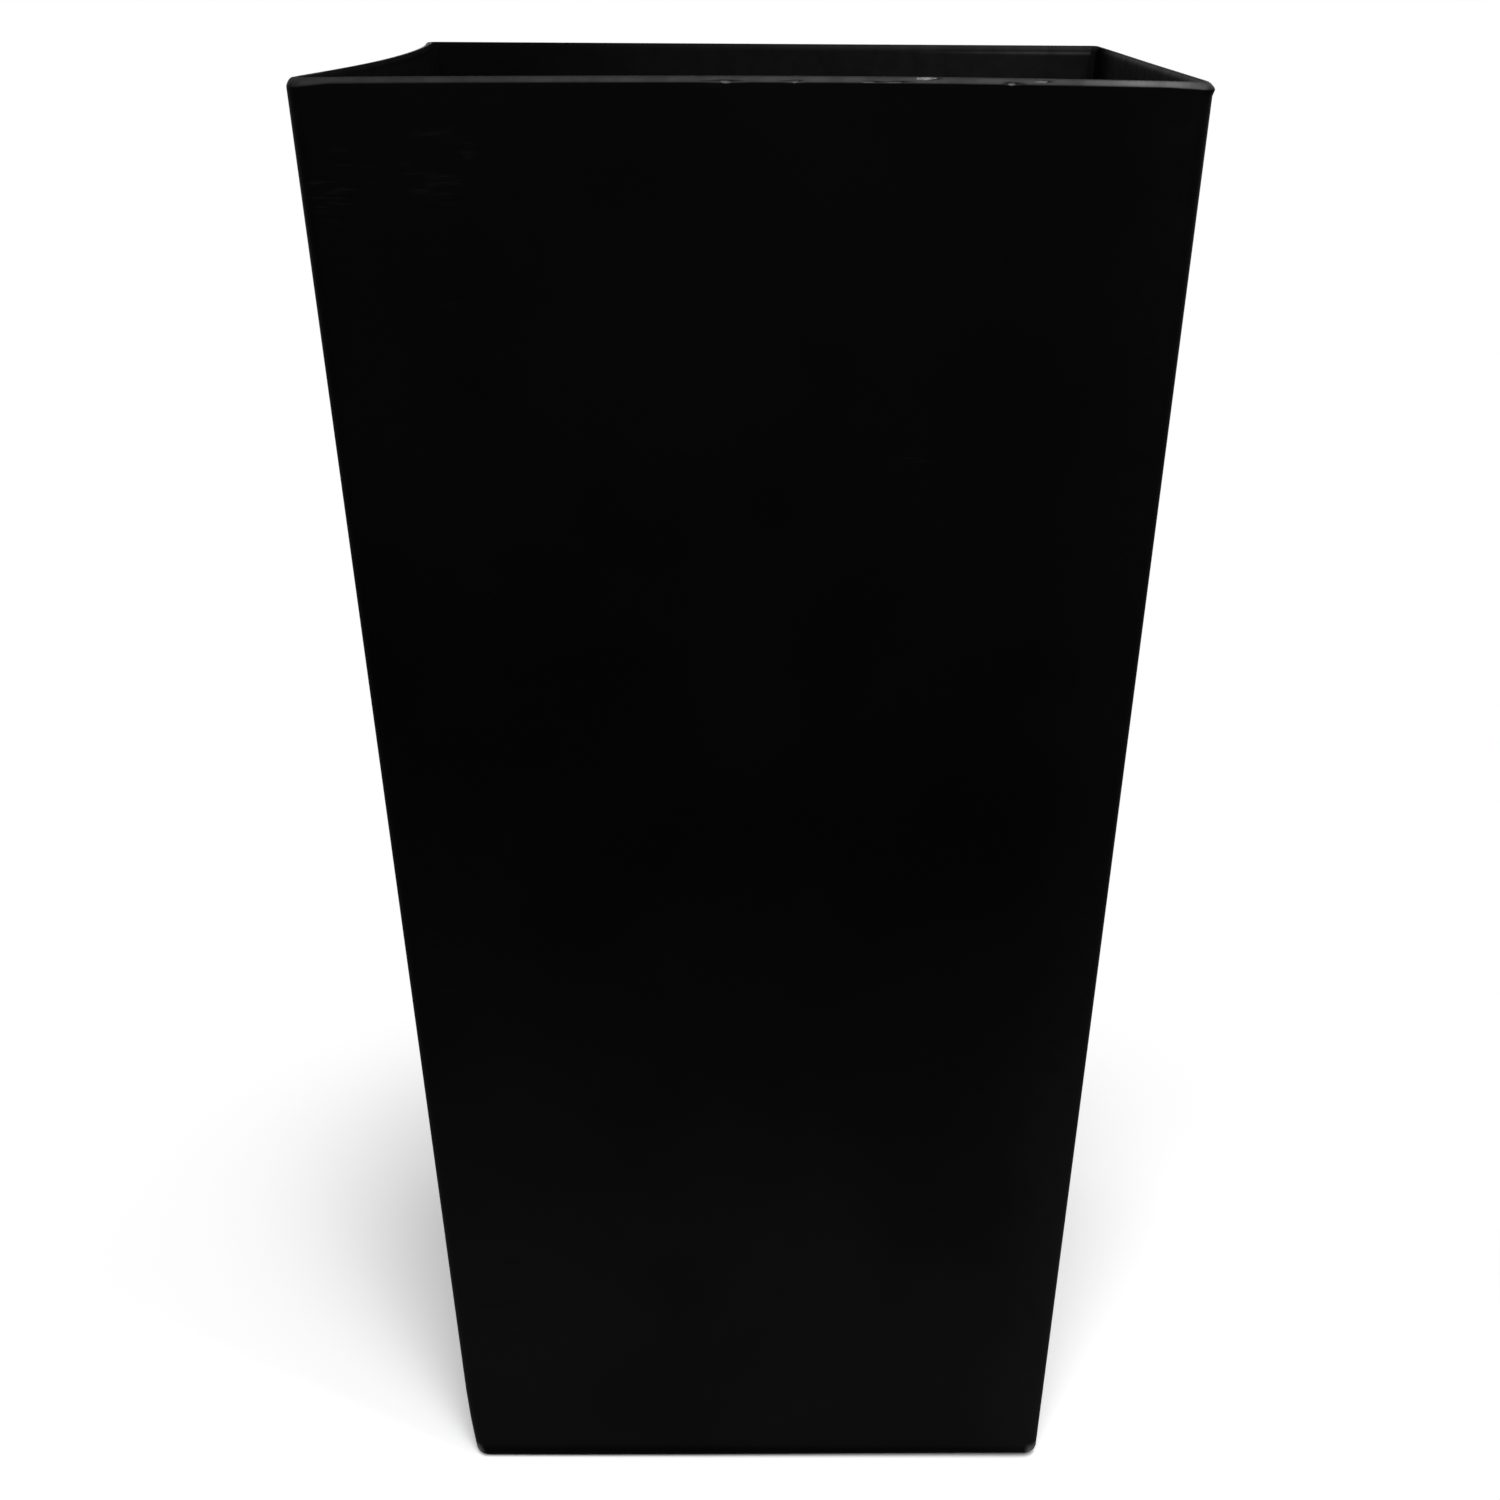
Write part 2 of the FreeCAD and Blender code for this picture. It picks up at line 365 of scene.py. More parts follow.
@dataclass(frozen=True)
class Clouds:
    """Noise that makes a finish patchy: which of its levels become which shares, by an eased step."""

    size: float
    detail: float
    levels: Span
    shares: Span = WHOLE
    stretch: Place = (1.0, 1.0, 1.0)


class NodeBench:
    """Adds and links the nodes of one material or of the world."""

    def __init__(self, tree: bpy.types.NodeTree) -> None:
        """Takes the tree, and finds the place on the piece that is shaded."""
        self.tree = tree
        self.place = self.add("ShaderNodeTexCoord").outputs["Object"]

    def feed(self, socket: Socket, value: Value) -> None:
        """Sets a socket to a value, or links it where the value is a socket.

        Args:
            socket: The socket that is fed.
            value: What goes into it.
        """
        if isinstance(value, Socket):
            self.tree.links.new(value, socket)
        else:
            socket.default_value = value

    def add(self, kind: str, inputs: Inputs | None = None, **settings: str) -> bpy.types.Node:
        """Adds a node.

        Args:
            kind: The node's type.
            inputs: What goes into its sockets, by name or number.
            settings: Its other settings.

        Returns:
            The node.
        """
        node = self.tree.nodes.new(kind)
        for setting, choice in settings.items():
            setattr(node, setting, choice)
        for socket, value in (inputs or {}).items():
            self.feed(node.inputs[socket], value)
        return node

    def speckle(self, size: float, detail: float, stretch: Place = (1.0, 1.0, 1.0)) -> Socket:
        """Adds cloudy noise.

        Args:
            size: The size of the clouds in metres.
            detail: How many finer layers it has.
            stretch: How far the clouds are drawn out along each axis.

        Returns:
            The noise, about 0.5.
        """
        squeeze = tuple(1.0 / length for length in stretch)
        place = self.add("ShaderNodeMapping", {"Vector": self.place, "Scale": squeeze}).outputs[0]
        inputs = {"Vector": place, "Scale": 1.0 / size, "Detail": detail}
        return self.add("ShaderNodeTexNoise", inputs).outputs[0]

    def remap(self, value: Socket, before: Span, after: Span = WHOLE) -> Socket:
        """Adds an eased step from one range to another.

        Args:
            value: What is remapped.
            before: The range that it is taken from.
            after: The range that it is brought to.

        Returns:
            The remapped value.
        """
        inputs = {"Value": value, "From Min": before[0], "From Max": before[1],
                  "To Min": after[0], "To Max": after[1]}
        return self.add("ShaderNodeMapRange", inputs, interpolation_type="SMOOTHSTEP").outputs[0]

    def patches(self, clouds: Clouds) -> Socket:
        """Adds noise that is brought to shares."""
        haze = self.speckle(clouds.size, clouds.detail, clouds.stretch)
        return self.remap(haze, clouds.levels, clouds.shares)

    def grain(self, size: float, depth: float) -> Socket:
        """Adds a fine bump, and gives the way that the bumpy surface faces."""
        inputs = {"Height": self.speckle(size, GRAIN_DETAIL), "Strength": 1.0, "Distance": depth}
        return self.add("ShaderNodeBump", inputs).outputs[0]

    def times(self, first: Socket, second: Value) -> Socket:
        """The product of two values."""
        return self.add("ShaderNodeMath", {0: first, 1: second}, operation="MULTIPLY").outputs[0]

    def most(self, first: Socket, second: Socket) -> Socket:
        """The larger of two values."""
        return self.add("ShaderNodeMath", {0: first, 1: second}, operation="MAXIMUM").outputs[0]

    def blend(self, share: Socket, first: Union[Colour, Socket], second: Colour) -> Socket:
        """The first colour, turning into the second as the share grows."""
        ends = {6: first if isinstance(first, Socket) else (*first, 1.0), 7: (*second, 1.0)}
        return self.add("ShaderNodeMix", {0: share, **ends}, data_type="RGBA").outputs[2]

    def lean(self, share: Socket, first: Socket, second: float) -> Socket:
        """The first number, turning into the second as the share grows."""
        return self.add("ShaderNodeMix", {0: share, 2: first, 3: second}).outputs[0]

    def attribute(self, name: str) -> Socket:
        """A number that the mesh holds at its points."""
        return self.add("ShaderNodeAttribute", attribute_name=name).outputs["Fac"]


def node_material(name: str) -> tuple[Material, NodeBench]:
    """Makes a material with nodes.

    Args:
        name: Its name.

    Returns:
        The material and the bench for its nodes.
    """
    material = bpy.data.materials.new(name)
    material.use_nodes = True
    return material, NodeBench(material.node_tree)


@dataclass(frozen=True)
class Scuff:
    """A place on a wall where something has dragged across it, full within a share of its reach."""

    place: Place
    reach: float
    full: float = 0.5


@dataclass(frozen=True)
class MouldedPlastic:
    """Black plastic with the fine grain of its mould, dull and shiny patches, scuffs, rubbed pale edges, and
    painted highlight, sheen, reflection and shade.
    """

    name: str
    deep: Colour
    cloudy: Colour
    scuffed: Colour
    worn_and_lit: Colour
    pale_and_glint_colour: Colour
    dusty: Colour
    shiny: float
    dull: float
    polished: float
    specular: float
    grain: float
    grain_depth: float
    # The dust's reach also paints the floor's reflection on the lower outside, and the foot's underside is
    # kept dark as painted shade.
    dust_and_reflection_top: float
    dust_and_reflection_shares: Span = (0.75, 1.0)
    shaded_foot: Span = (4 * MM, 7.5 * MM)
    shaded_foot_shares: Span = (0.2, 1.0)
    scuffs: tuple[Scuff, ...] = ()
    cloud: Clouds = Clouds(size=70 * MM, detail=4.0, levels=(0.25, 0.75))
    rub: Clouds = Clouds(size=6 * MM, detail=4.0, levels=(0.3, 0.65), shares=(0.7, 1.0))
    chalk: Clouds = Clouds(size=1.5 * MM, detail=3.0, levels=(0.3, 0.6), shares=(0.5, 1.0))
    scuff_area: Clouds = Clouds(size=60 * MM, detail=2.0, levels=(0.66, 0.78))
    drag: Clouds = Clouds(size=2.5 * MM, detail=3.0, levels=(0.52, 0.7), stretch=(6.0, 6.0, 0.8))

    def scuff_share(self, bench: NodeBench) -> Socket:
        """Adds thin level drag marks, in patches here and there and at the scuffs' own places.

        Args:
            bench: The nodes that get them.

        Returns:
            The share of the scuffed colour.
        """
        areas = bench.patches(self.scuff_area)
        for scuff in self.scuffs:
            ends = {0: bench.place, 1: scuff.place}
            away = bench.add("ShaderNodeVectorMath", ends, operation="DISTANCE").outputs["Value"]
            areas = bench.most(areas, bench.remap(away, (scuff.reach, scuff.full * scuff.reach)))
        return bench.times(bench.patches(self.drag), areas)

    def dust_and_reflection_share(self, bench: NodeBench, clouds: Socket) -> Socket:
        """Adds dust that grows towards the ground and is also a painted reflection of the floor on the
        shell's outside; it thins where the foot turns under, as painted shade.

        Args:
            bench: The nodes that get it.
            clouds: What makes the dust patchy.

        Returns:
            The share of the dusty colour.
        """
        level = bench.add("ShaderNodeSeparateXYZ", {0: bench.place}).outputs["Z"]
        patchy = bench.remap(clouds, WHOLE, self.dust_and_reflection_shares)
        # painted shade: the dust thins on the foot's underside, so it stays dark
        clean = bench.remap(level, self.shaded_foot, self.shaded_foot_shares)
        return bench.times(bench.times(bench.remap(level, (self.dust_and_reflection_top, 0.0)), patchy), clean)

    def material(self) -> Material:
        """Makes the node material of this finish.

        Returns:
            The material.
        """
        material, bench = node_material(self.name)
        shader = bench.tree.nodes["Principled BSDF"].inputs
        clouds = bench.patches(self.cloud)
        # The wear attribute and its colour carry rubbed edges with painted highlight, sheen and light; the
        # pale attribute carries pale nicks with the painted highlight on the foot's corners.
        exposed = bench.attribute(WEAR_AND_SHEEN)
        wear = bench.times(exposed, bench.patches(self.rub))
        pale = bench.times(bench.attribute(PALE_AND_GLINT), bench.patches(self.chalk))
        colour = bench.blend(clouds, self.deep, self.cloudy)
        # dust, with a painted reflection of the floor low on the shell and painted shade under the foot
        colour = bench.blend(self.dust_and_reflection_share(bench, clouds), colour, self.dusty)
        colour = bench.blend(self.scuff_share(bench), colour, self.scuffed)
        colour = bench.blend(wear, colour, self.worn_and_lit)
        colour = bench.blend(pale, colour, self.pale_and_glint_colour)
        gloss = bench.remap(clouds, WHOLE, (self.shiny, self.dull))
        bench.feed(shader["Base Color"], colour)
        bench.feed(shader["Roughness"], bench.lean(exposed, gloss, self.polished))
        bench.feed(shader["Specular IOR Level"], self.specular)
        bench.feed(shader["Normal"], bench.grain(self.grain, self.grain_depth))
        return material


@dataclass(frozen=True)
class SoftRubber:
    """Dark rubber, dusty and dull in patches."""

    name: str
    clean: Colour
    dusty: Colour
    roughness: float
    grain: float
    grain_depth: float
    dulling: float = 0.15
    specular: float = 0.25
    dust: Clouds = Clouds(size=6 * MM, detail=4.0, levels=(0.4, 0.7))

    def material(self) -> Material:
        """Makes the node material of this finish.

        Returns:
            The material.
        """
        material, bench = node_material(self.name)
        shader = bench.tree.nodes["Principled BSDF"].inputs
        dust = bench.patches(self.dust)
        dull = bench.remap(dust, WHOLE, (self.roughness, clamp(self.roughness + self.dulling)))
        bench.feed(shader["Base Color"], bench.blend(dust, self.clean, self.dusty))
        bench.feed(shader["Roughness"], dull)
        bench.feed(shader["Specular IOR Level"], self.specular)
        bench.feed(shader["Normal"], bench.grain(self.grain, self.grain_depth))
        return material


FRONT_SCUFFS = (
    Scuff(place=(-93 * MM, -136 * MM, 482 * MM), reach=15 * MM),
    Scuff(place=(-122 * MM, -135.6 * MM, 476 * MM), reach=14 * MM),
)
# The shell's dusty colour also lightens its lower walls as a painted reflection of the floor; its rub colour
# also carries painted highlight and sheen, and its pale colour the painted highlight on the foot's corners.
SHELL_PLASTIC = MouldedPlastic(
    name="shell_plastic", deep=grey(0.0004), cloudy=grey(0.0007), scuffed=grey(0.002), worn_and_lit=grey(0.12),
    pale_and_glint_colour=grey(0.3), dusty=grey(0.0036), shiny=0.43, dull=0.49, polished=0.36, specular=0.014,
    grain=0.8 * MM, grain_depth=0.03 * MM, dust_and_reflection_top=280 * MM, scuffs=FRONT_SCUFFS)
SHELL_INSIDE = replace(
    SHELL_PLASTIC, name="shell_inside", deep=grey(0.0012), cloudy=grey(0.002), dusty=grey(0.02),
    shiny=0.75, dull=0.9, polished=0.6, specular=0.0, grain=1.2 * MM, grain_depth=0.05 * MM,
    dust_and_reflection_top=440 * MM, scuffs=())
SHELF_PLASTIC = MouldedPlastic(
    name="shelf_plastic", deep=(0.006, 0.006, 0.0062), cloudy=(0.010, 0.010, 0.0105),
    scuffed=grey(0.02), worn_and_lit=grey(0.04), pale_and_glint_colour=grey(0.2), dusty=grey(0.012), shiny=0.45, dull=0.6,
    polished=0.4, specular=0.2, grain=0.9 * MM, grain_depth=0.05 * MM, dust_and_reflection_top=200 * MM)
PLUG_RUBBER = SoftRubber(
    name="plug_rubber", clean=(0.03, 0.03, 0.031), dusty=grey(0.06), roughness=0.6,
    grain=0.4 * MM, grain_depth=0.03 * MM)
PAD_RUBBER = SoftRubber(
    name="pad_rubber", clean=(0.018, 0.018, 0.019), dusty=grey(0.04), roughness=0.7,
    grain=0.4 * MM, grain_depth=0.04 * MM)


@dataclass(frozen=True)
class Nick:
    """A small dent in the rounding of the front rim from a knock, coloured pale.

    Its turn is how far up the rounding it is, in degrees.
    """

    along: float
    turn: float
    length: float
    height: float
    paleness: float
    depth: float = 0.35 * MM
    lumpiness: float = 0.3
    lump_pitch: float = 1.3
    segments: int = 20
    rings: int = 12
    least_faces: int = 8

    def add_lump(self, shape: Shape, place: Vector) -> None:
        """Adds the lump that is cut out of the rim: a rough flattened ball that faces out of the rounding.

        Args:
            shape: The shape that gets the lump.
            place: The point of the rim that the dent is centred on.
        """
        made = bmesh.ops.create_uvsphere(shape, u_segments=self.segments, v_segments=self.rings, radius=1.0)
        for vertex in made["verts"]:
            lump = noise.noise(vertex.co * self.lump_pitch + place / MM)
            vertex.co *= 1 + self.lumpiness * lump
        sizes = Matrix.Diagonal((self.length / 2, self.depth, self.height / 2, 1.0))
        facing = Matrix.Translation(place) @ Matrix.Rotation(-math.radians(self.turn), 4, "X") @ sizes
        bmesh.ops.transform(shape, matrix=facing, verts=made["verts"])

    def holds(self, offset: Vector, area: float) -> bool:
        """Whether a face is in the dent, by its offset from the dent's middle and by its area."""
        near = abs(offset.x) < self.length / 2 and offset.yz.length < self.height / 2
        return near and area < self.length * self.height / self.least_faces


RIM_NICKS = (
    Nick(along=-7.4 * MM, turn=12, length=3.0 * MM, height=1.0 * MM, paleness=0.13),
    Nick(along=13.4 * MM, turn=14, length=2.2 * MM, height=0.9 * MM, paleness=0.16),
    Nick(along=35.5 * MM, turn=14, length=5.0 * MM, height=0.6 * MM, paleness=0.12, depth=0.2 * MM),
    Nick(along=43.0 * MM, turn=14, length=6.0 * MM, height=0.6 * MM, paleness=0.1, depth=0.2 * MM),
    Nick(along=52.5 * MM, turn=55, length=6.6 * MM, height=1.2 * MM, paleness=0.4),
    Nick(along=77.8 * MM, turn=12, length=2.4 * MM, height=1.0 * MM, paleness=0.2),
    Nick(along=86.8 * MM, turn=35, length=5.5 * MM, height=0.7 * MM, paleness=0.3, depth=0.2 * MM),
)


@dataclass(frozen=True)
class Settling:
    """How the thin moulded walls differ from how they are drawn.

    What happens to the rim grows over shares of its width, and what happens to the foot over shares of
    its half width. The reaches are distances from a corner, and the rise is a share of the height over
    the shelf.
    """

    wall_bow: float = 9.8 * MM
    bow_power: float = 1.5
    wall_crown: float = 0.5 * MM
    rim_power: int = 3
    foot_tuck: float = 1.5 * MM
    tuck_height: float = 30 * MM
    foot_lift: float = 1.5 * MM
    foot_drop: float = 0.6 * MM
    lift_growth: Span = (-0.8, 1.2)
    side_band: Span = (0.8, 1.0)
    rim_sag: float = 0.3 * MM
    sag_growth: Span = (0.3, 0.75)
    left_corner_sag: float = 1.0 * MM
    right_corner_sag: float = 0.5 * MM
    corner_reach: Span = (7.5 * MM, 4 * MM)
    corner_spread: float = 1.0 * MM
    spread_across: Span = (0.2, 0.5)
    spread_back: Span = (-0.2, 0.5)
    corner_lip: float = 0.5 * MM
    lip_reach: Span = (9 * MM, 4 * MM)
    unevenness: float = 0.12 * MM
    uneven_size: float = 90 * MM
    uneven_rise: Span = (0.0, 0.2)

    def rim_shift(self, shell: "PlanterShell", place: Vector) -> Vector:
        """How far the rim over a point of the walls is from where it was drawn.

        It sags at the front left, its front corners are rounded off, the front right one has a small
        lip under it, and the back corners stand out to the sides.

        Args:
            shell: The shell.
            place: A point of the walls as they are drawn.

        Returns:
            The rim's shift.
        """
        across, back = place.x / shell.top_width, place.y / shell.top_width
        sag = self.rim_sag * ramp(-across - back, *self.sag_growth)
        spread = math.copysign(self.corner_spread, across) * ramp(abs(across), *self.spread_across)
        spread *= ramp(back, *self.spread_back)
        from_corner = 2 * shell.outer_half(place.z) - abs(place.x) - abs(place.y)
        lip = 0.0
        if back < 0:
            corner_sag = self.left_corner_sag if across < 0 else self.right_corner_sag
            sag += corner_sag * ramp(from_corner, *self.corner_reach)
        if across > 0 > back:
            edge = shell.rim - shell.rim_round
            under_rim = ramp(place.z, edge - shell.rim_round, edge) * ramp(place.z, shell.rim, edge)
            lip = self.corner_lip * under_rim * ramp(from_corner, *self.lip_reach)
        return Vector((spread + lip, -lip, -sag))

    def settled(self, shell: "PlanterShell", place: Vector) -> Vector:
        """Where a point of the walls goes.

        The front and left walls are drawn in at the rim, and all four are slightly uneven above the shelf.
        The foot is tucked in along the left side, and its front rises a little towards the right.

        Args:
            shell: The shell.
            place: A point of the walls as they are drawn.

        Returns:
            The point's place in the moulded pot.
        """
        moved = place.copy()
        height = place.z - shell.foot
        sunk = clamp(1 - height / self.tuck_height) ** 2
        on_left, on_front = (ramp(-side / shell.skirt_half, *self.side_band) for side in place.xy)
        moved.x += self.foot_tuck * sunk * on_left
        lift = self.foot_lift * ramp(place.x / shell.skirt_half, *self.lift_growth) - self.foot_drop
        moved.z += lift * on_front * clamp(1 - height / shell.floor_raise)
        rise = (place.z - shell.shelf_top) / (shell.rim - shell.shelf_top)
        if rise <= 0:
            return moved
        moved += self.rim_shift(shell, place) * rise ** self.rim_power
        along, across = (1, 0) if abs(place.x) > abs(place.y) else (0, 1)
        middle = clamp(1 - (place[along] / (shell.outer_half(place.z) - shell.corner_radius)) ** 2)
        inward = -math.copysign(1.0, place[across])
        hollow = noise.noise(place / self.uneven_size) * self.unevenness * ramp(rise, *self.uneven_rise)
        if inward > 0:
            hollow += self.wall_bow * rise ** self.bow_power
            moved.z += self.wall_crown * middle * rise ** self.rim_power
        moved[across] += inward * middle * hollow
        return moved


@dataclass(frozen=True)
class RimWearAndHighlight:
    """How the rounded rim is rubbed, with a painted highlight that grows towards the right end of the front
    and peaks near it.
    """

    front: float = 0.12
    front_light_gain: float = 0.16
    front_light_growth: Span = (-0.47, 0.33)
    highlight_gain: float = 0.56
    highlight_place: float = 118 * MM
    highlight_width: float = 14 * MM
    back: float = 0.17
    right: float = 0.19
    left: float = 0.04
    # the rub and the painted highlight keep to the slanting band of the rounding where the lamps shine back
    tilt_start: Span = (math.radians(4), math.radians(15))
    tilt_end: Span = (math.radians(50), math.radians(85))
    corner_loss: float = 0.8
    corner_start: float = 0.3

    def at(self, shell: "PlanterShell", place: Vector, normal: Vector) -> float:
        """How rubbed a point of the outside is, with the painted highlight added.

        Args:
            shell: The shell.
            place: A point of the outside.
            normal: The way the shell faces there.

        Returns:
            The share of wear and painted highlight, from 0 to 1.
        """
        if shell.rim - place.z > 2 * shell.rim_round:
            return 0.0
        # painted highlight: the front rim grows paler towards the right end, and paler still in a spot near
        # it
        front = self.front + self.front_light_gain * ramp(place.x / shell.top_width, *self.front_light_growth)
        front += self.highlight_gain * math.exp(-((place.x - self.highlight_place) / self.highlight_width) ** 2)
        walls = (front * max(-normal.y, 0) + self.back * max(normal.y, 0)
                 + self.right * max(normal.x, 0) + self.left * max(-normal.x, 0))
        walls /= abs(normal.x) + abs(normal.y) + TINY
        steep = math.asin(clamp(normal.z))
        tilted = ramp(steep, *self.tilt_start) * (1 - ramp(steep, *self.tilt_end))
        return walls * tilted * (1 - self.corner_loss * shell.corner_share(place, self.corner_start))


@dataclass(frozen=True)
class InsideWearAndSheen:
    """Painted light on the top of the inside: a sheen that grows towards the right, highlights along the
    rim's inner edge and along a line below it, light on the side walls, and painted shade by the back right
    corner.

    The growths are shares of the width, and the edge's depths are counted in roundings of the rim.
    """

    depths: Span = (40 * MM, 10 * MM)
    edge_depths: Span = (1.5, 0.5)
    facing: Span = (0.2, 0.5)
    squareness: Span = (0.75, 0.95)
    left: float = 0.04
    left_edge_loss: float = 0.02
    back: float = 0.004
    back_gain: float = 0.031
    back_growth: Span = (-0.45, 0.42)
    back_edge_highlight: float = 0.085
    back_corner: Span = (0.38, 0.48)
    back_corner_shade: float = 0.2
    sheen_line_gain: float = 0.2
    sheen_line_growth: Span = (0.2, 0.42)
    line_width: float = 0.4 * MM
    right: float = 0.11
    right_growth: Span = (0.4, 0.18)
    right_edge_highlight: float = 0.2
    right_edge_depth: float = 2.2 * MM
    right_back: float = 0.1
    right_back_reach: Span = (20 * MM, 8 * MM)

    def at(self, shell: "PlanterShell", place: Vector, normal: Vector) -> float:
        """How much painted light a point of the inside gets.

        Args:
            shell: The shell.
            place: A point of the inside.
            normal: The way the shell faces there.

        Returns:
            The share of painted light, from 0 to 1.
        """
        across, below = place.x / shell.top_width, shell.rim - place.z
        edge = ramp(below / shell.rim_round, *self.edge_depths)
        line = math.exp(-((below - shell.sheen_line) / self.line_width) ** 2)
        to_right = ramp(across, *self.back_growth)
        to_corner = ramp(across, *self.back_corner)
        to_front = ramp(place.y / shell.top_width, *self.right_growth)
        near_back = ramp(shell.inner_half(place.z) - place.y, *self.right_back_reach)
        # painted sheen on the back wall, growing towards the right and fading into painted shade by the right
        # corner, with painted highlights along the rim's inner edge and along a line below it
        back = (self.back + self.back_gain * to_right) * (1 - self.back_corner_shade * to_corner)
        back += self.back_edge_highlight * to_right ** 2 * edge
        back += self.sheen_line_gain * line * ramp(across, *self.sheen_line_growth)
        # painted highlight along the top of the right wall, and painted light over it that reaches into the
        # back corner
        right = to_front * (self.right + self.right_edge_highlight * math.exp(-below / self.right_edge_depth))
        right = max(right, self.right_back * near_back)
        # painted light on the left wall, which the lamps leave dark, less of it at the rim's edge
        left = self.left - self.left_edge_loss * edge
        sides = max(right * ramp(-normal.x, *self.facing), left * ramp(normal.x, *self.facing))
        sides *= ramp(abs(normal.xy.normalized().x), *self.squareness)
        return max(back * ramp(-normal.y, *self.facing), sides) * ramp(below, *self.depths)


@dataclass(frozen=True)
class WallSheen:
    """Painted light on the outside: a painted highlight along the upright corners, most where they face back,
    and a painted light towards the right edge of the front.
    """

    corner: float = 0.12
    corner_loss: float = 0.6
    corner_heights: Span = (250 * MM, 450 * MM)
    corner_facing: Span = (-0.4, 0.2)
    front: float = 0.006
    front_heights: Span = (260 * MM, 120 * MM)
    front_light_growth: Span = (0.72, 1.0)
    front_facing: Span = (0.6, 0.9)

    def at(self, shell: "PlanterShell", place: Vector, normal: Vector) -> float:
        """How much painted light a point of the outside gets.

        Args:
            shell: The shell.
            place: A point of the outside.
            normal: The way the shell faces there.

        Returns:
            The share of painted light, from 0 to 1.
        """
        # painted highlight on the upright corners, fading towards the top and kept off the corners that face
        # the front
        corner = self.corner * (1 - self.corner_loss * ramp(place.z, *self.corner_heights))
        corner *= shell.corner_share(place) * ramp(normal.y, *self.corner_facing)
        # painted light on the front, growing towards its right edge and towards the foot
        front = self.front * (1 + ramp(place.z, *self.front_heights))
        front *= ramp(place.x / shell.outer_half(place.z), *self.front_light_growth)
        return max(corner, front * ramp(-normal.y, *self.front_facing))


@dataclass(frozen=True)
class FootGlint:
    """How pale the corners of the foot are painted, as a painted highlight where they catch the floor's
    light, up to heights that are counted in its roundings.
    """

    left: float = 0.6
    right: float = 0.7
    heights: Span = (0.6, 1.7)

    def at(self, shell: "PlanterShell", place: Vector) -> float:
        """How much painted highlight a point gets, from 0 to 1."""
        low = 1 - ramp((place.z - shell.foot) / shell.base_round, *self.heights)
        return low * shell.corner_share(place) * (self.left if place.x < 0 else self.right)


